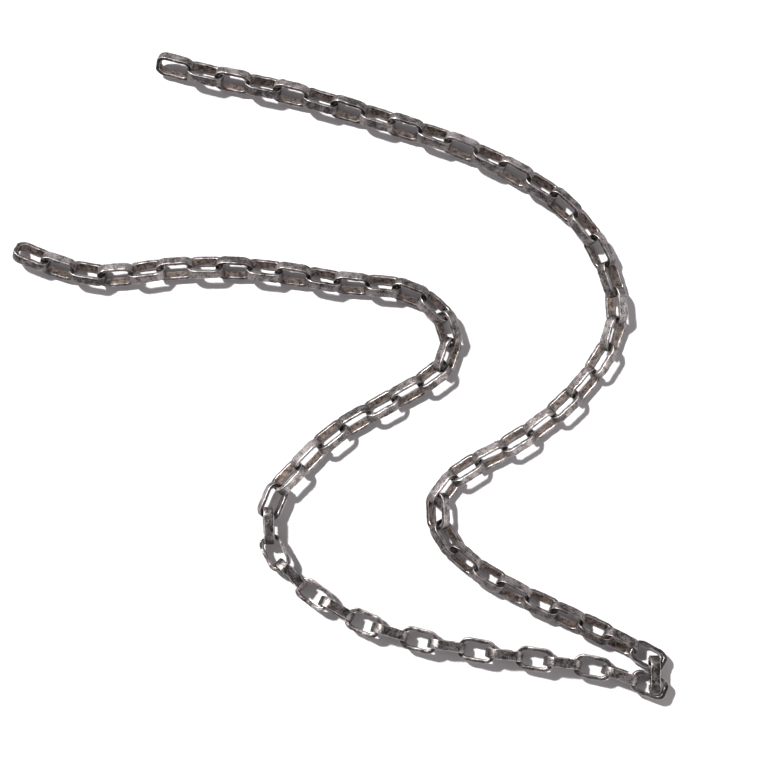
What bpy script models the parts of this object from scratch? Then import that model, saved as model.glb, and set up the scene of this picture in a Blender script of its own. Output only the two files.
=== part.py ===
"""A length of light iron chain, laid on a flat floor in one long fold.

Each link is a short piece of flat strip, set on edge and bent into an oblong ring with cut-off
corners, so a link is a low tube. The tube leans to one side and the next one to the other side.
In one stretch the chain has turned by an eighth, so that the links lie flat and stand in turn.
Lengths are in metres, +Z is up and the floor is at z = 0, under the middle of the laid chain.
"""
import math

import bmesh
import bpy
import numpy as np
from mathutils import Matrix

MM = 0.001

# the link
LINK_LENGTH = 0.0130
LINK_WIDTH = 0.0080
STRIP_WIDTH = 0.0034
STRIP_THICKNESS = 0.0011
END_FLAT = 0.0044
SIDE_FLAT = 0.0080
CORNER_FULLNESS = 0.6
INNER_LENGTH = LINK_LENGTH - 2 * STRIP_THICKNESS

# how two links sit against each other at a joint
PRESSED_DEPTH = 0.00015
FREE_PLAY = 0.0003
LOOSE_GAP = 0.00078

# the chain: two runs of links, joined by one link across their ends
UPPER_LINKS = 38
LOWER_LINKS = 41
FOLD_LINK = UPPER_LINKS
LINK_COUNT = UPPER_LINKS + 1 + LOWER_LINKS
FOLD_CENTRE = (95.2 * MM, -102.2 * MM)
FOLD_HEADING = math.radians(-90.0)
FOLD_ROLL = math.radians(90.0)

# the lean of the links, the twist of the whole chain, and the few that lie off that rule
TILT = math.radians(45.0)
FIRST_TWIST = (35.0, 38.0)
SECOND_TWIST = (53.0, 57.0)
EXTRA_LEAN = {18: 12, 28: -6, 42: 5, 44: 5, 46: 5, 48: 8, 50: 12, 52: 10}

# the stretch where the links lie flat and stand in turn, and its joints rise and fall
TAUT_JOINTS = (39, 53)
SWING = 0.00072
SWING_STARTS = (39.0, 41.0)
SWING_ENDS = (52.0, 55.0)

# points that the upper run passes through, in millimetres, from its free end to the fold
UPPER_WAY = (
    (-78.3, 113.1), (-63, 109), (-33, 102.5), (-4, 94), (26, 84), (44.5, 75.5), (62.5, 64),
    (75, 49), (79.5, 38.5), (82, 29), (81.5, 19), (77, 9), (64, -7), (48, -19.5), (29, -30),
    (21, -36.5), (18, -44.5), (21, -53.5), (28.5, -62), (46, -73), (65, -82), (84, -91), (98, -98.5),
)

# points that the lower run passes through, from the fold back to its free end
LOWER_WAY = (
    (98.2, -107.7), (91, -105), (82, -101.5), (73.5, -99.5), (52, -96.5), (32, -93.5), (12, -90),
    (-8.5, -83.5), (-18.5, -78), (-27, -72.5), (-34.5, -65.5), (-40, -57), (-41, -47), (-38.5, -38.5),
    (-32, -31.5), (-17.5, -17.5), (0.5, -7), (9.5, -2), (18, 3), (23.5, 10), (22.5, 21), (16.5, 28.5),
    (6.5, 33.5), (-14, 35.5), (-34.5, 39), (-55, 41), (-76, 40.5), (-96.5, 38), (-106, 39),
    (-115, 41.5), (-124, 45), (-134, 49),
)
POINTS_PER_STRETCH = 40
FITTING_ROUNDS = 8

# worn, darkened iron
IRON_COLOUR = (0.17, 0.155, 0.145, 1.0)
IRON_ROUGHNESS = 0.42
IRON_METALLIC = 0.9


def ease(start, end, at):
    """A smooth step from 0 at start to 1 at end."""
    t = min(1.0, max(0.0, (at - start) / (end - start)))
    return t * t * (3 - 2 * t)


# The shape of one link

def outer_outline():
    """The link's outline seen along its tube: flat ends and sides, each corner in two facets."""
    half_long, half_wide = LINK_LENGTH / 2, LINK_WIDTH / 2
    corner = (
        (half_long, END_FLAT / 2),
        (SIDE_FLAT / 2 + (half_long - SIDE_FLAT / 2) * CORNER_FULLNESS,
         END_FLAT / 2 + (half_wide - END_FLAT / 2) * CORNER_FULLNESS),
        (SIDE_FLAT / 2, half_wide),
    )
    first = list(corner)
    second = [(-x, y) for x, y in reversed(corner)]
    third = [(-x, -y) for x, y in corner]
    fourth = [(x, -y) for x, y in reversed(corner)]
    return first + second + third + fourth


def make_link_band():
    """The outer skin of one link: its outline, pulled up by the width of the strip."""
    band = bmesh.new()
    corners = [band.verts.new((x, y, -STRIP_WIDTH / 2)) for x, y in outer_outline()]
    edges = [band.edges.new((a, b)) for a, b in zip(corners, corners[1:] + corners[:1])]
    pulled = bmesh.ops.extrude_edge_only(band, edges=edges)["geom"]
    raised = [part for part in pulled if isinstance(part, bmesh.types.BMVert)]
    bmesh.ops.translate(band, verts=raised, vec=(0, 0, STRIP_WIDTH))
    for face in band.faces:
        face.normal_update()
        if face.normal.dot(face.calc_center_median()) < 0:
            face.normal_flip()
    mesh = bpy.data.meshes.new("link_band")
    band.to_mesh(mesh)
    band.free()
    return mesh


# The line that the chain follows

def smooth_curve(way):
    """Points on a smooth curve through the given ones: each stretch blends its neighbours' lines."""
    through = [np.array(p) * MM for p in way]
    through = [2 * through[0] - through[1]] + through + [2 * through[-1] - through[-2]]
    points = []
    for p0, p1, p2, p3 in zip(through, through[1:], through[2:], through[3:]):
        t1 = np.linalg.norm(p1 - p0) ** 0.5
        t2 = t1 + np.linalg.norm(p2 - p1) ** 0.5
        t3 = t2 + np.linalg.norm(p3 - p2) ** 0.5
        t = np.linspace(t1, t2, POINTS_PER_STRETCH, endpoint=False)[:, None]
        a1 = ((t1 - t) * p0 + t * p1) / t1
        a2 = ((t2 - t) * p1 + (t - t1) * p2) / (t2 - t1)
        a3 = ((t3 - t) * p2 + (t - t2) * p3) / (t3 - t2)
        b1 = ((t2 - t) * a1 + t * a2) / t2
        b2 = ((t3 - t) * a2 + (t - t1) * a3) / (t3 - t1)
        points.append(((t2 - t) * b1 + (t - t1) * b2) / (t2 - t1))
    return np.vstack(points + [through[-2][None]])


def step_along(curve, steps):
    """Points on the curve, each at its own straight distance from the one before."""
    points = [curve[0]]
    k = 0
    for step in steps:
        here = points[-1]
        while k < len(curve) - 2 and np.linalg.norm(curve[k + 1] - here) < step:
            k += 1
        along, back = curve[k + 1] - curve[k], curve[k] - here
        a, b, c = along @ along, 2 * back @ along, back @ back - step * step
        points.append(curve[k] + (math.sqrt(max(0.0, b * b - 4 * a * c)) - b) / (2 * a) * along)
    return np.array(points)


def is_pressed(joint):
    """Every second joint bears metal on metal, and the two links there are one solid."""
    return joint % 2 == 1 if joint < FOLD_LINK else joint % 2 == 0


def joint_gap(joint, turn):
    """Room between the two end bars at a joint: more where the links turn, or don't cross square.

    A pressed joint has none to spare, and in the taut stretch its bars' edges bite into each other.
    """
    taut = TAUT_JOINTS[0] <= joint <= TAUT_JOINTS[1]
    opening = STRIP_WIDTH * math.tan(turn / 2)
    if is_pressed(joint):
        return -PRESSED_DEPTH if taut else opening - PRESSED_DEPTH
    roll = roll_of(joint)
    askew = abs(math.cos(roll - roll_of(joint - 1)))
    opening *= abs(math.cos(roll)) + abs(math.sin(roll))
    free = opening + askew * END_FLAT / 2 + FREE_PLAY
    return free if taut else max(free, LOOSE_GAP)


def swing(joint):
    """How far a joint stands above or below the chain's middle line, where the chain zigzags."""
    amount = SWING * ease(*SWING_STARTS, joint) * (1 - ease(*SWING_ENDS, joint))
    return amount if joint % 2 == 1 else -amount


def fit_run(way, count, first):
    """The joints of one run, on its curve, and the gap at each of them."""
    curve = smooth_curve(way)
    rise = np.array([swing(first + k + 1) - swing(first + k) for k in range(count)])
    turns = np.zeros(count + 1)
    for _ in range(FITTING_ROUNDS):
        gaps = np.array([joint_gap(first + k, turns[k]) for k in range(count + 1)])
        chords = INNER_LENGTH - (gaps[:-1] + gaps[1:]) / 2
        joints = step_along(curve, np.sqrt(chords ** 2 - rise ** 2))
        directions = np.c_[np.diff(joints, axis=0), rise]
        directions /= np.linalg.norm(directions, axis=1)[:, None]
        cosines = (directions[:-1] * directions[1:]).sum(axis=1)
        turns[1:-1] = np.arccos(np.clip(cosines, -1.0, 1.0))
    return joints, gaps


# How each link lies

def roll_of(link):
    """The lean of a link's side about the chain's line."""
    side = TILT if link % 2 == 0 else -TILT
    twist = TILT * (ease(*FIRST_TWIST, link) + ease(*SECOND_TWIST, link))
    return side + twist + math.radians(EXTRA_LEAN.get(link, 0))


def link_axes(heading, tip, roll):
    """A link's own axes as columns: along it, across its eye, and along its tube."""
    along = np.array([math.cos(tip) * math.cos(heading), math.cos(tip) * math.sin(heading), math.sin(tip)])
    left = np.array([-math.sin(heading), math.cos(heading), 0.0])
    across = math.cos(roll) * left + math.sin(roll) * np.cross(along, left)
    return np.array([along, across, np.cross(along, across)]).T


def reach_of(axes):
    """The furthest that a link so turned reaches from its centre, along x, y and z."""
    corners = [(x, y, z) for x, y in outer_outline() for z in (-STRIP_WIDTH / 2, STRIP_WIDTH / 2)]
    return np.abs(np.array(corners) @ axes.T).max(axis=0)


def joint_heights():
    """Joint heights that keep every link on or above the floor: a flat link hangs in its neighbours."""
    resting = []
    for link in range(LINK_COUNT):
        start, end = swing(link), swing(link + 1)
        axes = link_axes(0.0, math.asin((end - start) / INNER_LENGTH), roll_of(link))
        hung = TAUT_JOINTS[0] <= link <= TAUT_JOINTS[1] and link % 2 == 1
        resting.append(0.0 if hung else reach_of(axes)[2] - (start + end) / 2)
    beside = [resting[:1]] + [resting[k:k + 2] for k in range(LINK_COUNT - 1)] + [resting[-1:]]
    return [max(near) + swing(joint) for joint, near in enumerate(beside)]


def place_links():
    """The turned axes and the centre of every link, in order along the chain."""
    upper, upper_gaps = fit_run(UPPER_WAY, UPPER_LINKS, 0)
    lower, lower_gaps = fit_run(LOWER_WAY, LOWER_LINKS, FOLD_LINK + 1)
    joints = np.vstack([upper, lower])
    gaps = np.concatenate([upper_gaps, lower_gaps])
    heights = joint_heights()
    placed = []
    for link in range(LINK_COUNT):
        if link == FOLD_LINK:
            axes = link_axes(FOLD_HEADING, 0.0, FOLD_ROLL)
            placed.append((axes, np.array([*FOLD_CENTRE, LINK_WIDTH / 2])))
            continue
        dx, dy = joints[link + 1] - joints[link]
        tip = math.asin((heights[link + 1] - heights[link]) / (INNER_LENGTH - gaps[link]))
        axes = link_axes(math.atan2(dy, dx), tip, roll_of(link))
        start = np.array([*joints[link], heights[link]])
        placed.append((axes, start + axes[:, 0] * (INNER_LENGTH - gaps[link]) / 2))
    return set_on_floor(placed)


def set_on_floor(placed):
    """The same links, moved so that the floor's origin is under the middle of the chain."""
    low = np.min([centre - reach_of(axes) for axes, centre in placed], axis=0)
    high = np.max([centre + reach_of(axes) for axes, centre in placed], axis=0)
    origin = np.array([(low[0] + high[0]) / 2, (low[1] + high[1]) / 2, low[2]])
    return [(axes, centre - origin) for axes, centre in placed]


# The solids

def clear_scene():
    for old in list(bpy.data.objects):
        bpy.data.objects.remove(old, do_unlink=True)


def make_collection(name):
    collection = bpy.data.collections.new(name)
    bpy.context.scene.collection.children.link(collection)
    return collection


def make_iron():
    iron = bpy.data.materials.new("worn_iron")
    iron.use_nodes = True
    shader = iron.node_tree.nodes["Principled BSDF"]
    shader.inputs["Base Color"].default_value = IRON_COLOUR
    shader.inputs["Roughness"].default_value = IRON_ROUGHNESS
    shader.inputs["Metallic"].default_value = IRON_METALLIC
    return iron


def make_link(name, band, pose, collection):
    """One link: the shared band where it lies, thickened inwards to the strip's thickness."""
    axes, centre = pose
    link = bpy.data.objects.new(name, band)
    collection.objects.link(link)
    link.matrix_world = Matrix.Translation(centre.tolist()) @ Matrix(axes.tolist()).to_4x4()
    wall = link.modifiers.new("strip thickness", "SOLIDIFY")
    wall.thickness = STRIP_THICKNESS
    wall.offset = -1.0
    wall.use_even_offset = True
    return link


def make_pair(name, band, poses, parts, helpers):
    """Two neighbouring links that bear on each other, joined into one solid where they touch."""
    link = make_link(name, band, poses[0], parts)
    mate = make_link(name + "_mate", band, poses[1], helpers)
    mate.hide_render = True
    mate.display_type = "WIRE"
    union = link.modifiers.new("bearing point", "BOOLEAN")
    union.operation = "UNION"
    union.solver = "EXACT"
    union.object = mate
    return link


def build():
    clear_scene()
    parts = make_collection("iron_chain")
    helpers = make_collection("mates")
    band = make_link_band()
    band.materials.append(make_iron())
    placed = place_links()
    starts = list(range(0, UPPER_LINKS, 2)) + list(range(FOLD_LINK + 1, LINK_COUNT - 1, 2))
    for number, first in enumerate(starts, start=1):
        make_pair(f"link_pair_{number:02d}", band, placed[first:first + 2], parts, helpers)
    make_link("fold_link", band, placed[FOLD_LINK], parts)
    make_link("end_link", band, placed[-1], parts)


build()
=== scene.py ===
import math

import bpy
import numpy as np
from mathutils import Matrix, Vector


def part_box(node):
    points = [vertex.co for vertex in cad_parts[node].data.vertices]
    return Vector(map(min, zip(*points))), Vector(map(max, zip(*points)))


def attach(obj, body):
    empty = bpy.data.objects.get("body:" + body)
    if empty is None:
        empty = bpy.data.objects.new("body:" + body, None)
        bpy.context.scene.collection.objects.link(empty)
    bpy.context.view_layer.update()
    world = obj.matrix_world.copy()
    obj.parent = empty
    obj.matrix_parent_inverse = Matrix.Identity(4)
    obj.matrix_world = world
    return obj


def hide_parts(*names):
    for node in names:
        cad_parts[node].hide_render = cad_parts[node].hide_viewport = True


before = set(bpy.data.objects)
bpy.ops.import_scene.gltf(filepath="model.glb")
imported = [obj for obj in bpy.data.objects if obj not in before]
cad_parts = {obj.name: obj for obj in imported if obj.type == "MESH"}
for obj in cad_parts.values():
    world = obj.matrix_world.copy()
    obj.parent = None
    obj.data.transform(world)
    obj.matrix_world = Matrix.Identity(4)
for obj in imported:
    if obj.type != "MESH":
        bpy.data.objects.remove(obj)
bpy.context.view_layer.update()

mm = 0.001

# Where every link lies. The sizes and the route are the CAD model's own.
# Links are counted from 0 at the upper left end, and joint n lies before link n.
chain = {
    "linkLength": 13.0 * mm, "linkWidth": 8.0 * mm,    # over the outside
    "stripWidth": 3.4 * mm, "stripThickness": 1.1 * mm,
    "endFlat": 4.4 * mm, "sideFlat": 8.0 * mm,         # the straight parts of a link's ends and sides
    "cornerFullness": 0.6,                             # how far out the middle of a cut corner stands
    "pressedDepth": 0.15 * mm,                         # overlap of the end bars that share a CAD node
    "freePlay": 0.3 * mm,                              # room at the other joints
    "looseGap": 0.78 * mm,                             # and the least there where the chain is loose
    "upperLinks": 38, "lowerLinks": 41,                # and one more stands across the fold
    "foldCentre": (95.2 * mm, -102.2 * mm),
    "foldHeading": math.radians(-90), "foldRoll": math.radians(90),
    "tilt": math.radians(45),                          # how far the links lean, left and right in turn
    "firstTwist": (35.0, 38.0), "secondTwist": (53.0, 57.0),
    "extraLean": {18: 12, 28: -6, 42: 5, 44: 5, 46: 5, 48: 8, 50: 12, 52: 10},  # degrees
    "tautJoints": (39, 53),                            # here the links lie flat and stand in turn
    "swing": 0.72 * mm, "swingStarts": (39.0, 41.0), "swingEnds": (52.0, 55.0),
    "standingTip": math.radians(4),                    # how much more a standing link tips than its solid
    "pointsPerStretch": 40, "fittingRounds": 8,
    "upperWay": (                                      # points along the two runs, in mm
        (-78.3, 113.1), (-63, 109), (-33, 102.5), (-4, 94), (26, 84), (44.5, 75.5), (62.5, 64),
        (75, 49), (79.5, 38.5), (82, 29), (81.5, 19), (77, 9), (64, -7), (48, -19.5), (29, -30),
        (21, -36.5), (18, -44.5), (21, -53.5), (28.5, -62), (46, -73), (65, -82), (84, -91),
        (98, -98.5)),
    "lowerWay": (
        (98.2, -107.7), (91, -105), (82, -101.5), (73.5, -99.5), (52, -96.5), (32, -93.5),
        (12, -90), (-8.5, -83.5), (-18.5, -78), (-27, -72.5), (-34.5, -65.5), (-40, -57),
        (-41, -47), (-38.5, -38.5), (-32, -31.5), (-17.5, -17.5), (0.5, -7), (9.5, -2), (18, 3),
        (23.5, 10), (22.5, 21), (16.5, 28.5), (6.5, 33.5), (-14, 35.5), (-34.5, 39), (-55, 41),
        (-76, 40.5), (-96.5, 38), (-106, 39), (-115, 41.5), (-124, 45), (-134, 49)),
}
innerLength = chain["linkLength"] - 2 * chain["stripThickness"]
foldLink = chain["upperLinks"]
linkCount = chain["upperLinks"] + 1 + chain["lowerLinks"]


def ease(start, end, at):  # a smooth step from 0 at start to 1 at end
    t = min(1.0, max(0.0, (at - start) / (end - start)))
    return t * t * (3 - 2 * t)


# The twelve corners of a link's outline: flat ends and sides, and two facets at each corner.
def linkCorners():
    halfLong, halfWide = chain["linkLength"] / 2, chain["linkWidth"] / 2
    flatEnd, flatSide, full = chain["endFlat"] / 2, chain["sideFlat"] / 2, chain["cornerFullness"]
    quarter = np.array([
        (halfLong, flatEnd),
        (flatSide + (halfLong - flatSide) * full, flatEnd + (halfWide - flatEnd) * full),
        (flatSide, halfWide)])
    return np.vstack([quarter, quarter[::-1] * (-1, 1), quarter * (-1, -1), quarter[::-1] * (1, -1)])


# A smooth curve through given points: each stretch blends its neighbours' straight lines,
# with a parameter that grows by the square root of the distance from point to point.
def smoothCurve(way):
    through = np.array(way) * mm
    through = np.vstack([2 * through[0] - through[1], through, 2 * through[-1] - through[-2]])
    points = []
    for p0, p1, p2, p3 in zip(through, through[1:], through[2:], through[3:]):
        t1 = np.linalg.norm(p1 - p0) ** 0.5
        t2 = t1 + np.linalg.norm(p2 - p1) ** 0.5
        t3 = t2 + np.linalg.norm(p3 - p2) ** 0.5
        t = np.linspace(t1, t2, chain["pointsPerStretch"], endpoint=False)[:, None]
        a1 = ((t1 - t) * p0 + t * p1) / t1
        a2 = ((t2 - t) * p1 + (t - t1) * p2) / (t2 - t1)
        a3 = ((t3 - t) * p2 + (t - t2) * p3) / (t3 - t2)
        b1 = ((t2 - t) * a1 + t * a2) / t2
        b2 = ((t3 - t) * a2 + (t - t1) * a3) / (t3 - t1)
        points.append(((t2 - t) * b1 + (t - t1) * b2) / (t2 - t1))
    return np.vstack(points + [through[-2][None]])


def stepAlong(curve, steps):  # points on the curve, each at its own straight distance from the last
    points, k = [curve[0]], 0
    for step in steps:
        here = points[-1]
        while k < len(curve) - 2 and np.linalg.norm(curve[k + 1] - here) < step:
            k += 1
        along, back = curve[k + 1] - curve[k], curve[k] - here
        a, b, c = along @ along, 2 * back @ along, back @ back - step * step
        points.append(curve[k] + (math.sqrt(max(0.0, b * b - 4 * a * c)) - b) / (2 * a) * along)
    return np.array(points)


# Links lean left and right in turn, and in two places the whole chain twists by an eighth of a turn.
def rollOf(link):
    side = chain["tilt"] if link % 2 == 0 else -chain["tilt"]
    twist = chain["tilt"] * (ease(*chain["firstTwist"], link) + ease(*chain["secondTwist"], link))
    return side + twist + math.radians(chain["extraLean"].get(link, 0))


def isTaut(number):  # whether a joint or link is in the stretch of flat and standing links
    first, last = chain["tautJoints"]
    return first <= number <= last


def jointGap(joint, turn):  # room between two end bars: more where links turn or don't cross square
    pressed = joint % 2 == 1 if joint < foldLink else joint % 2 == 0
    opening = chain["stripWidth"] * math.tan(turn / 2)
    if pressed:
        return -chain["pressedDepth"] if isTaut(joint) else opening - chain["pressedDepth"]
    roll = rollOf(joint)
    askew = abs(math.cos(roll - rollOf(joint - 1)))
    opening *= abs(math.cos(roll)) + abs(math.sin(roll))
    free = opening + askew * chain["endFlat"] / 2 + chain["freePlay"]
    return free if isTaut(joint) else max(free, chain["looseGap"])


def swing(joint):  # how far a joint of the taut stretch stands above or below the middle line
    amount = chain["swing"] * ease(*chain["swingStarts"], joint) * (1 - ease(*chain["swingEnds"], joint))
    return amount if joint % 2 == 1 else -amount


def fitRun(way, count, first):  # one run's joints and their gaps, fitted to each other in a few rounds
    curve = smoothCurve(way)
    rise = np.array([swing(first + k + 1) - swing(first + k) for k in range(count)])
    turns = np.zeros(count + 1)
    for _ in range(chain["fittingRounds"]):
        gaps = np.array([jointGap(first + k, turns[k]) for k in range(count + 1)])
        chords = innerLength - (gaps[:-1] + gaps[1:]) / 2
        joints = stepAlong(curve, np.sqrt(chords ** 2 - rise ** 2))
        directions = np.c_[np.diff(joints, axis=0), rise]
        directions /= np.linalg.norm(directions, axis=1)[:, None]
        turns[1:-1] = np.arccos(np.clip((directions[:-1] * directions[1:]).sum(axis=1), -1.0, 1.0))
    return joints, gaps


def linkAxes(heading, tip, roll):  # a link's own axes as columns: along, across its eye, along its tube
    level = math.cos(tip)
    along = np.array([level * math.cos(heading), level * math.sin(heading), math.sin(tip)])
    left = np.array([-math.sin(heading), math.cos(heading), 0.0])
    across = math.cos(roll) * left + math.sin(roll) * np.cross(along, left)
    return np.array([along, across, np.cross(along, across)]).T


def reachOf(axes):  # the furthest that a link so turned reaches from its centre, along x, y and z
    flat = linkCorners()
    half = chain["stripWidth"] / 2
    both = np.vstack([np.c_[flat, np.full(len(flat), -half)], np.c_[flat, np.full(len(flat), half)]])
    return np.abs(both @ axes.T).max(axis=0)


def jointHeights():  # they keep each link on the floor, but a flat link hangs in its neighbours
    resting = []
    for link in range(linkCount):
        start, end = swing(link), swing(link + 1)
        axes = linkAxes(0.0, math.asin((end - start) / innerLength), rollOf(link))
        hung = isTaut(link) and link % 2 == 1
        resting.append(0.0 if hung else reachOf(axes)[2] - (start + end) / 2)
    beside = [resting[:1]] + [resting[k:k + 2] for k in range(linkCount - 1)] + [resting[-1:]]
    return [max(near) + swing(joint) for joint, near in enumerate(beside)]


# The turned axes and the centre of every link, moved so that the chain's box stands on the floor round
# the origin, and where that puts the middle of the picture.
def placeLinks():
    upper, upperGaps = fitRun(chain["upperWay"], chain["upperLinks"], 0)
    lower, lowerGaps = fitRun(chain["lowerWay"], chain["lowerLinks"], foldLink + 1)
    joints, gaps = np.vstack([upper, lower]), np.concatenate([upperGaps, lowerGaps])
    heights = jointHeights()
    placed = []
    for link in range(linkCount):
        if link == foldLink:
            axes = linkAxes(chain["foldHeading"], 0.0, chain["foldRoll"])
            placed.append((axes, np.array([*chain["foldCentre"], chain["linkWidth"] / 2])))
            continue
        dx, dy = joints[link + 1] - joints[link]
        tip = math.asin((heights[link + 1] - heights[link]) / (innerLength - gaps[link]))
        axes = linkAxes(math.atan2(dy, dx), tip, rollOf(link))
        start = np.array([*joints[link], heights[link]])
        placed.append((axes, start + axes[:, 0] * (innerLength - gaps[link]) / 2))
    low = np.min([centre - reachOf(axes) for axes, centre in placed], axis=0)
    high = np.max([centre + reachOf(axes) for axes, centre in placed], axis=0)
    origin = np.array([(low[0] + high[0]) / 2, (low[1] + high[1]) / 2, low[2]])
    return [(axes, centre - origin) for axes, centre in placed], -origin


# The standing links of the taut stretch tip up a little more than their joints alone would have it,
# and are lifted so that none goes through the floor.
def tipStanding(placed):
    tipped = list(placed)
    first, last = chain["tautJoints"]
    c, s = math.cos(chain["standingTip"]), math.sin(chain["standingTip"])
    for link in range(first + first % 2, last, 2):  # the even ones stand
        axes, centre = placed[link]
        turned = axes @ np.array([(c, -s, 0), (s, c, 0), (0, 0, 1)])
        lift = max(0.0, reachOf(turned)[2] - centre[2])
        tipped[link] = (turned, centre + np.array([0, 0, lift]))
    return tipped


# One link, as hand-bent from flat strip. A span is the share of the way from the middle of a link
# to its end at which a change begins, and the share at which it is whole.
strip = {
    "seed": 80,
    "walk": 480,                  # points on the outline while its bends are softened
    "along": 96,                  # rings of the finished surface
    "bendSoftness": 0.5 * mm,     # how far a bend's sharp corner is spread
    "edgeRound": 0.17 * mm,       # radius of the strip's rubbed edges
    "cornerSteps": 4, "faceSteps": 3, "rimSteps": 2,
    "edgeWearAndHighlightShares": (0.7, 1.0),   # how worn, and brightened as a painted highlight, an edge is at its borders and along its middle
    "innerAtEdge": 0.25,          # how much an inner edge has of the inner face's brown
    "rimSharpness": 6,            # how closely a rim, the strip's narrow side, ends at its edges
    "crown": 0.03 * mm,           # how much the wide faces bulge
    "swell": 0.10 * mm,           # how much thicker, inwards, the strip is than the solid's
    "endSwell": 0.18 * mm,        # and how much more it is at the two ends, where it was hammered round
    "swellSpan": (0.55, 0.8),
    "knotSpan": (0.55, 0.95),     # where dirt and painted shade gather round the joint
    "waviness": 0.09 * mm,        # how far the strip's edges wander
    "rippleTurns": range(2, 11),  # in waves of so many to a ring
    "warp": 0.08 * mm,            # how far the whole ring is out of flat
    "bowTurns": range(2, 5),
    "dents": 0.035 * mm, "dentSizes": (1.2 * mm, 4.0 * mm), "dentWaves": 14,
    "rimSmoothness": 0.5,         # how much shallower the dents are on the rims
}


# The strip's section, once round: a rounded rectangle, narrow in the direction of the thickness.
# Each point has its offsets out of the ring and along the tube, its normal in the same two
# directions, and how far it is on a worn edge that also takes a painted highlight, on the inner face and
# on a rim.
def stripSection():
    halfThick, halfWide, r = chain["stripThickness"] / 2, chain["stripWidth"] / 2, strip["edgeRound"]
    faceAt = np.linspace(-1, 1, strip["faceSteps"] + 2)[1:-1] * (halfWide - r)
    rimAt = np.linspace(-1, 1, strip["rimSteps"] + 2)[1:-1] * (halfThick - r)
    bulge = strip["crown"] * (1 - (faceAt / halfWide) ** 2)
    sweep = np.linspace(0, math.pi / 2, strip["cornerSteps"])
    least, most = strip["edgeWearAndHighlightShares"]
    edgeWearAndHighlight = least + (most - least) * np.sin(2 * sweep)

    def edge(out, up, quarter):  # a rounded edge, worn and also brightened as a painted highlight, on the side out, up of the section's middle
        angle = sweep + quarter * math.pi / 2
        inner = np.full(len(angle), strip["innerAtEdge"] * (out < 0))
        return np.c_[out * (halfThick - r) + r * np.cos(angle), up * (halfWide - r) + r * np.sin(angle),
                     np.cos(angle), np.sin(angle), edgeWearAndHighlight, inner]

    def face(out, at):  # a wide face, crowned by a parabola
        zeros = np.zeros(len(at))
        inner = np.full(len(at), float(out < 0))
        return np.c_[out * (halfThick + bulge), at, np.full(len(at), out), zeros, zeros, inner]

    def rim(up, at):  # a flat narrow side
        zeros = np.zeros(len(at))
        return np.c_[at, np.full(len(at), up * halfWide), zeros, np.full(len(at), up), zeros, zeros]

    rows = np.vstack([edge(1, 1, 0), rim(1, rimAt[::-1]), edge(-1, 1, 1), face(-1, faceAt[::-1]),
                      edge(-1, -1, 2), rim(-1, rimAt), edge(1, -1, 3), face(1, faceAt)])
    section = dict(zip(("out", "up", "normalOut", "normalUp", "edgeWearAndHighlight", "inner"), rows.T))
    section["rim"] = np.abs(section["normalUp"]) ** strip["rimSharpness"]
    return section


# A link's outline, softened: the corner polygon is walked at even steps and its short waves are faded
# out. Points and outward normals are complex numbers in the plane of the link's eye.
def softOutline():
    corners = linkCorners()
    closed = np.vstack([corners, corners[:1]])
    run = np.concatenate([[0], np.cumsum(np.linalg.norm(np.diff(closed, axis=0), axis=1))])
    walk = np.linspace(0, run[-1], strip["walk"], endpoint=False)
    points = np.interp(walk, run, closed[:, 0]) + 1j * np.interp(walk, run, closed[:, 1])
    waves = np.fft.fft(points)
    pitch = 2 * math.pi * np.fft.fftfreq(len(walk), d=run[-1] / len(walk))
    waves *= np.exp(-0.5 * (pitch * strip["bendSoftness"]) ** 2)
    tangent = np.fft.ifft(1j * pitch * waves)
    step = strip["walk"] // strip["along"]
    return np.fft.ifft(waves)[::step], (-1j * tangent / np.abs(tangent))[::step]


def towardsEnd(along, span):  # 0 round a link's middle, rising evenly over the span, 1 at its ends
    start, full = span
    return np.clip((np.abs(along) / chain["linkLength"] * 2 - start) / (full - start), 0, 1)


# Two sums of sine waves round the ring with random heights and phases: a ripple of the strip's width,
# which falls with the root of the waves' number, and a bow of the ring, which falls with the number.
def wander(around, rng):
    ripple, bow = np.zeros_like(around), np.zeros_like(around)
    for turns in strip["rippleTurns"]:
        wave = np.sin(turns * around + rng.uniform(0, 2 * math.pi)) * rng.normal()
        ripple = ripple + wave / turns ** 0.5
        if turns in strip["bowTurns"]:
            wave = np.sin(turns * around + rng.uniform(0, 2 * math.pi)) * rng.normal()
            bow = bow + wave / turns
    return ripple, bow


def dentsAt(x, y, z, rng):  # a sum of plane sine waves with random directions, lengths and phases
    push = np.zeros_like(x)
    for _ in range(strip["dentWaves"]):
        way = rng.normal(size=3)
        way *= 2 * math.pi / rng.uniform(*strip["dentSizes"]) / np.linalg.norm(way)
        push += np.sin(way[0] * x + way[1] * y + way[2] * z + rng.uniform(0, 2 * math.pi))
    return push


# The surface of one link: the section is carried round the outline, offset along the outline's normal
# and along the tube. Its width ripples, its middle line bows and its inner side swells. Then it is
# pushed along its own normal by the dents, and last turned and moved into place. The places along the
# link are returned too.
def linkSurface(section, outline, pose, rng):
    middle, outward = outline
    middle, outward = middle[:, None], outward[:, None]
    around = 2 * math.pi * np.arange(len(middle))[:, None] / len(middle)
    ripple, bow = wander(around, rng)
    halfWide = chain["stripWidth"] / 2
    up = section["up"] * (1 + strip["waviness"] / halfWide * ripple / 2) + strip["warp"] * bow
    swollen = strip["swell"] + strip["endSwell"] * towardsEnd(middle.real, strip["swellSpan"])
    out = section["out"] - swollen * (section["out"] < 0)
    flat = middle + outward * (out - chain["stripThickness"] / 2)
    x, y, z = flat.real, flat.imag, up + 0 * flat.real
    depth = strip["dents"] / math.sqrt(strip["dentWaves"]) * (1 - strip["rimSmoothness"] * section["rim"])
    push = dentsAt(x, y, z, rng) * depth
    own = np.stack([x + outward.real * section["normalOut"] * push,
                    y + outward.imag * section["normalOut"] * push,
                    z + section["normalUp"] * push], axis=-1)
    axes, centre = pose
    return own @ axes.T + centre, x


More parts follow.
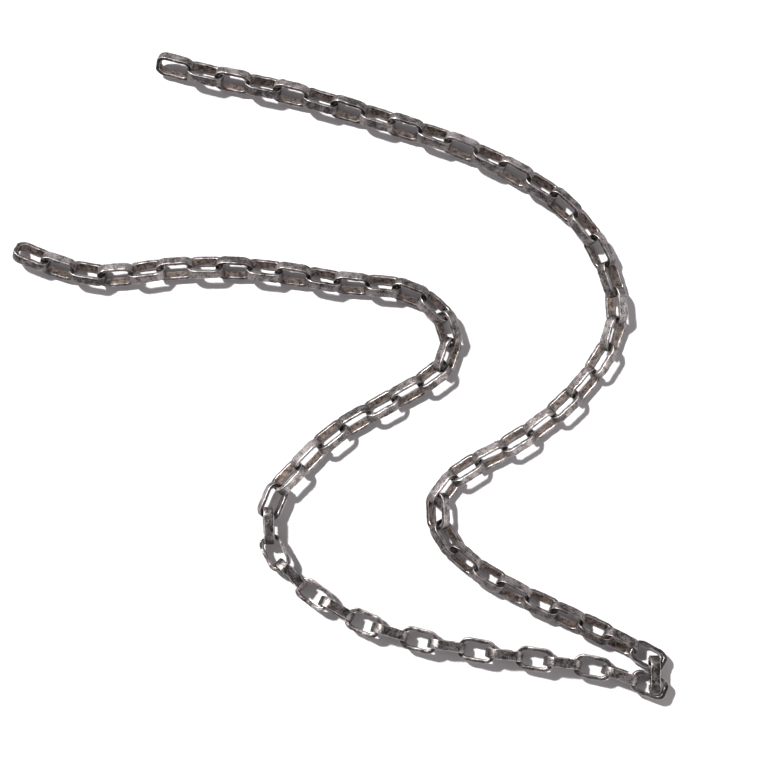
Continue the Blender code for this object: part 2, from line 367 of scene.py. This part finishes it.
def quadsOf(rings, steps, first):  # faces of a grid that closes on itself both ways
    i, j = np.meshgrid(np.arange(rings), np.arange(steps), indexing="ij")
    i2, j2 = (i + 1) % rings, (j + 1) % steps
    corners = (i * steps + j, i2 * steps + j, i2 * steps + j2, i * steps + j2)
    return first + np.stack(corners, axis=-1).reshape(-1, 4)


# A piece of one or two links. Its attributes say where the finish changes.
def makeLinks(name, links, placed, section, outline, material, rng):
    points, faces, first = [], [], 0
    attributes = {"edgeWearAndHighlight": [], "inner": [], "rim": [], "knot": [], "tone": []}
    for link in links:
        surface, along = linkSurface(section, outline, placed[link], rng)
        rings, steps = along.shape
        points.append(surface.reshape(-1, 3))
        faces.append(quadsOf(rings, steps, first))
        first += rings * steps
        for key in ("edgeWearAndHighlight", "inner", "rim"):
            attributes[key].append(np.tile(section[key], rings))
        attributes["knot"].append(towardsEnd(along, strip["knotSpan"]).ravel())
        attributes["tone"].append(np.full(rings * steps, rng.normal()))
    points, faces = np.vstack(points), np.vstack(faces)
    mesh = bpy.data.meshes.new(name)
    mesh.from_pydata(points.tolist(), [], faces.tolist())
    for key, values in attributes.items():
        layer = mesh.attributes.new(key, "FLOAT", "POINT")
        layer.data.foreach_set("value", np.concatenate(values).astype(np.float32))
    mesh.shade_smooth()
    mesh.materials.append(material)
    piece = bpy.data.objects.new(name, mesh)
    bpy.context.scene.collection.objects.link(piece)
    return piece


def boxDifference(piece, nodeName):  # the most by which a side of the piece's box is off its solid's
    points = np.empty(3 * len(piece.data.vertices), np.float32)
    piece.data.vertices.foreach_get("co", points)
    points = points.reshape(-1, 3)
    seen = np.array([points.min(axis=0), points.max(axis=0)])
    return np.abs(seen - np.array(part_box(nodeName))).max()


# Worn, darkened iron: it mirrors the room dimly, brown inside the eyes, bright along its edges from wear
# and a painted highlight, with painted shade on its rims and dirt and painted shade in its joints.
iron = {
    "metallic": 1.0,
    "dark": (0.055, 0.049, 0.047, 1), "light": (0.39, 0.357, 0.348, 1),            # outer faces
    "brownDark": (0.030, 0.024, 0.021, 1), "brownLight": (0.34, 0.254, 0.208, 1),  # inner faces
    "rim": (0.040, 0.034, 0.032, 1),         # painted shade on the strip's narrow sides
    "brightWearAndHighlight": (0.72, 0.675, 0.66, 1),        # rubbed metal, also a painted highlight along the edges
    "grimeAndShade": (0.024, 0.019, 0.017, 1),       # dirt and painted shade in the joints
    "brownShare": 0.9, "rimShadeShare": 0.25,     # how much of its own colour the inner side takes, and how much painted shade a rim takes
    # size, detail and roughness of the noises
    "grain": (0.55 * mm, 2.0, 0.6), "fine": (0.22 * mm, 1.0, 0.5),
    "patches": (2.6 * mm, 2.0, 0.55), "blotches": (1.5 * mm, 3.0, 0.55),
    "noiseRange": (0.3, 0.7),                # most of a noise's values are between these
    # what the low and the high end of a noise add to the lightness of the outer and inner faces
    "grainTones": (-0.4, 0.4), "fineTones": (-0.25, 0.25), "patchTones": (-0.05, 0.85),
    "grainStains": (-0.3, 0.3), "blotchRange": (0.36, 0.68), "blotchStains": (0.0, 0.8),
    "linkTone": 0.05,                        # how much the links differ from each other
    # rubbed edges are worn, and take the painted highlight, less in some patches than in others, and are
    # bright past a share of that
    "wearAndHighlightRange": (0.3, 0.6), "wearAndHighlightShares": (0.75, 1.0),
    "brightRange": (0.6, 0.95), "brightShares": (0.0, 0.9),
    "grimeAndShadeShares": (0.42, 0.9),              # dirt and painted shade on the outside and on the inside of a link's end
    "roughness": (0.26, 0.46), "knotRoughness": 0.13, "rimRoughness": 0.31, "rubbedRoughness": 0.42,
    "bump": 0.09 * mm, "rimBump": 0.5, "fineBump": 0.02 * mm,
}


def node(tree, kind, inputs=None, **settings):  # a new node; an input is another node's output or a value
    made = tree.nodes.new(kind)
    for key, value in settings.items():
        setattr(made, key, value)
    for key, value in (inputs or {}).items():
        if isinstance(value, bpy.types.NodeSocket):
            tree.links.new(value, made.inputs[key])
        else:
            made.inputs[key].default_value = value
    return made


# A Mix node has sockets of the same name for each kind of data, so they are taken by number.
def mixColours(tree, share, a, b):
    return node(tree, "ShaderNodeMix", {0: share, 6: a, 7: b}, data_type="RGBA").outputs[2]


def mixValues(tree, share, a, b):
    return node(tree, "ShaderNodeMix", {0: share, 2: a, 3: b}, data_type="FLOAT").outputs[0]


def maths(tree, kind, a, b, c=0.0, clamp=False):
    return node(tree, "ShaderNodeMath", {0: a, 1: b, 2: c}, operation=kind, use_clamp=clamp).outputs[0]


def spread(tree, value, fromRange, toRange):  # one range carried to another, and held at its ends
    inputs = {"Value": value, "From Min": fromRange[0], "From Max": fromRange[1],
              "To Min": toRange[0], "To Max": toRange[1]}
    return node(tree, "ShaderNodeMapRange", inputs).outputs[0]


def noise(tree, place, size, detail, roughness):
    inputs = {"Vector": place, "Scale": 1 / size, "Detail": detail, "Roughness": roughness}
    return node(tree, "ShaderNodeTexNoise", inputs).outputs["Fac"]


# Where the edges are worn and take a painted highlight, in patches
def ironWearAndHighlight(tree, marks, noises):
    patches = spread(tree, noises["patches"], iron["wearAndHighlightRange"], iron["wearAndHighlightShares"])
    wearAndHighlightMask = maths(tree, "MULTIPLY", marks["edgeWearAndHighlight"], patches, clamp=True)
    return spread(tree, wearAndHighlightMask, iron["brightRange"], iron["brightShares"])


# Speckled outer faces, then brown inner faces, painted shade on the rims, worn edges with a painted
# highlight, and dirt with painted shade in the joints, each laid over the last.
def ironColour(tree, marks, noises, wearAndHighlightMask):
    toned = maths(tree, "MULTIPLY_ADD", marks["tone"], iron["linkTone"], noises["patches"])
    patchTone = spread(tree, toned, iron["noiseRange"], iron["patchTones"])
    fineTone = spread(tree, noises["fine"], iron["noiseRange"], iron["fineTones"])
    grainTone = spread(tree, noises["grain"], iron["noiseRange"], iron["grainTones"])
    level = maths(tree, "ADD", grainTone, maths(tree, "ADD", fineTone, patchTone), clamp=True)
    colour = mixColours(tree, level, iron["dark"], iron["light"])
    grainStain = spread(tree, noises["grain"], iron["noiseRange"], iron["grainStains"])
    blotchStain = spread(tree, noises["blotches"], iron["blotchRange"], iron["blotchStains"])
    stain = maths(tree, "ADD", grainStain, blotchStain, clamp=True)
    brown = mixColours(tree, stain, iron["brownDark"], iron["brownLight"])
    colour = mixColours(tree, maths(tree, "MULTIPLY", marks["inner"], iron["brownShare"]), colour, brown)
    # painted shade on the rims, the strip's narrow sides
    rimShadeShare = maths(tree, "MULTIPLY", marks["rim"], iron["rimShadeShare"])
    colour = mixColours(tree, rimShadeShare, colour, iron["rim"])
    # worn edges, brightened also as a painted highlight
    colour = mixColours(tree, wearAndHighlightMask, colour, iron["brightWearAndHighlight"])
    # dirt and painted shade where the links' ends cross, heavier on the inside
    grimeAndShadeShare = spread(tree, marks["inner"], (0.0, 1.0), iron["grimeAndShadeShares"])
    return mixColours(tree, maths(tree, "MULTIPLY", marks["knot"], grimeAndShadeShare), colour, iron["grimeAndShade"])


def ironRoughness(tree, marks, noises, wearAndHighlightMask):
    rough = spread(tree, noises["grain"], iron["noiseRange"], iron["roughness"])
    rough = maths(tree, "MULTIPLY_ADD", marks["knot"], iron["knotRoughness"], rough)
    rough = mixValues(tree, marks["rim"], rough, iron["rimRoughness"])
    return mixValues(tree, wearAndHighlightMask, rough, iron["rubbedRoughness"])


def ironBump(tree, marks, noises):  # the grain, weaker on the rims, and the finest noise on top of it
    strength = spread(tree, marks["rim"], (0.0, 1.0), (1.0, iron["rimBump"]))
    inputs = {"Height": noises["grain"], "Strength": strength, "Distance": iron["bump"]}
    coarse = node(tree, "ShaderNodeBump", inputs).outputs[0]
    inputs = {"Height": noises["fine"], "Strength": 1.0, "Distance": iron["fineBump"], "Normal": coarse}
    return node(tree, "ShaderNodeBump", inputs).outputs[0]


def makeIron():
    material = bpy.data.materials.new("wornIron")
    material.use_nodes = True
    tree = material.node_tree
    shader = tree.nodes["Principled BSDF"]
    place = node(tree, "ShaderNodeTexCoord").outputs["Object"]
    marks = {key: node(tree, "ShaderNodeAttribute", attribute_name=key).outputs["Fac"]
             for key in ("edgeWearAndHighlight", "inner", "rim", "knot", "tone")}
    noises = {key: noise(tree, place, *iron[key]) for key in ("grain", "fine", "patches", "blotches")}
    wearAndHighlightMask = ironWearAndHighlight(tree, marks, noises)
    tree.links.new(ironColour(tree, marks, noises, wearAndHighlightMask), shader.inputs["Base Color"])
    tree.links.new(ironRoughness(tree, marks, noises, wearAndHighlightMask), shader.inputs["Roughness"])
    tree.links.new(ironBump(tree, marks, noises), shader.inputs["Normal"])
    shader.inputs["Metallic"].default_value = iron["metallic"]
    return material


def makeChain():  # two links to a piece, as in the CAD nodes, but the fold's link and the last alone
    placed, shift = placeLinks()
    placed = tipStanding(placed)
    section, outline, material = stripSection(), softOutline(), makeIron()
    rng = np.random.default_rng(strip["seed"])
    starts = [*range(0, foldLink, 2), *range(foldLink + 1, linkCount - 1, 2)]
    pieces = [(f"ironLinks{number:02d}", (first, first + 1), f"link_pair_{number:02d}")
              for number, first in enumerate(starts, start=1)]
    pieces += [("ironFoldLink", (foldLink,), "fold_link"), ("ironEndLink", (linkCount - 1,), "end_link")]
    furthest = 0.0
    for name, links, nodeName in pieces:
        piece = makeLinks(name, links, placed, section, outline, material, rng)
        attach(piece, "root")
        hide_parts(nodeName)
        furthest = max(furthest, boxDifference(piece, nodeName))
    print(linkCount, "links made in", len(pieces), "pieces")
    print("the furthest that a piece's box is off its solid's:", round(furthest / mm, 2), "mm")
    return shift


# A wide white floor without gloss.
ground = {"size": 6.0, "colour": (0.62, 0.613, 0.62, 1), "roughness": 0.9, "gloss": 0.0}


def makeFloor():
    half = ground["size"] / 2
    mesh = bpy.data.meshes.new("floor")
    corners = [(-half, -half, 0), (half, -half, 0), (half, half, 0), (-half, half, 0)]
    mesh.from_pydata(corners, [], [(0, 1, 2, 3)])
    material = bpy.data.materials.new("paleFloor")
    material.use_nodes = True
    shader = material.node_tree.nodes["Principled BSDF"]
    shader.inputs["Base Color"].default_value = ground["colour"]
    shader.inputs["Roughness"].default_value = ground["roughness"]
    shader.inputs["Specular IOR Level"].default_value = ground["gloss"]
    mesh.materials.append(material)
    floor = bpy.data.objects.new("floor", mesh)
    bpy.context.scene.collection.objects.link(floor)


# A lamp at the upper left, two upright panels that the metal mirrors, and a sky that is brighter
# round the horizon than overhead.
studio = {
    "lampBearing": math.radians(135), "lampElevation": math.radians(50),
    "lampStrength": 6.9, "lampAngle": math.radians(4),
    "panels": (  # bearing, width, height, middle's height and power of each
        (math.radians(135), 2.4, 0.36, 0.20, 5.0), (math.radians(-30), 1.6, 0.60, 0.32, 6.9)),
    "panelDistance": 1.0,
    "skyColour": (1.0, 0.915, 0.965, 1), "skyHeights": (0.3, 0.8), "skyStrengths": (0.34, 0.22),
}


def shineFrom(name, light, towards, place):  # a light at a place, shining from the way given
    made = bpy.data.objects.new(name, light)
    made.rotation_euler = towards.to_track_quat("Z", "Y").to_euler()
    made.location = place
    bpy.context.scene.collection.objects.link(made)


def makeLamp():
    lamp = bpy.data.lights.new("lamp", "SUN")
    lamp.energy = studio["lampStrength"]
    lamp.angle = studio["lampAngle"]
    bearing, up = studio["lampBearing"], studio["lampElevation"]
    towards = Vector((math.cos(up) * math.cos(bearing), math.cos(up) * math.sin(bearing), math.sin(up)))
    shineFrom("lamp", lamp, towards, towards)


def makePanels():
    for bearing, width, high, middle, power in studio["panels"]:
        panel = bpy.data.lights.new("panel", "AREA")
        panel.shape = "RECTANGLE"
        panel.size, panel.size_y = width, high
        panel.energy = power
        towards = Vector((math.cos(bearing), math.sin(bearing), 0.0))
        shineFrom("panel", panel, towards, towards * studio["panelDistance"] + Vector((0, 0, middle)))


def makeSky():
    world = bpy.data.worlds.new("studio")
    bpy.context.scene.world = world
    world.use_nodes = True
    tree = world.node_tree
    way = node(tree, "ShaderNodeTexCoord").outputs["Generated"]
    height = node(tree, "ShaderNodeSeparateXYZ", {"Vector": way}).outputs["Z"]
    sky = tree.nodes["Background"]
    sky.inputs["Color"].default_value = studio["skyColour"]
    strength = spread(tree, height, studio["skyHeights"], studio["skyStrengths"])
    tree.links.new(strength, sky.inputs["Strength"])


# The camera looks straight down, and its lens takes in the picture's width on the floor.
view = {
    "pictureSize": 768, "metresPerPixel": 0.354 * mm, "cameraHeight": 0.700, "sensor": 36.0,
    "nearest": 0.01,
}


def makeCamera(shift):
    camera = bpy.data.cameras.new("camera")
    camera.sensor_width = view["sensor"]
    width = view["pictureSize"] * view["metresPerPixel"]
    camera.lens = view["sensor"] * view["cameraHeight"] / width
    camera.clip_start = view["nearest"]
    seen = bpy.data.objects.new("camera", camera)
    seen.location = (shift[0], shift[1], view["cameraHeight"])
    bpy.context.scene.collection.objects.link(seen)
    bpy.context.scene.camera = seen


shift = makeChain()
makeFloor()
makeLamp()
makePanels()
makeSky()
makeCamera(shift)
bpy.context.scene.view_settings.view_transform = "Standard"
print("floor, lights and camera set")
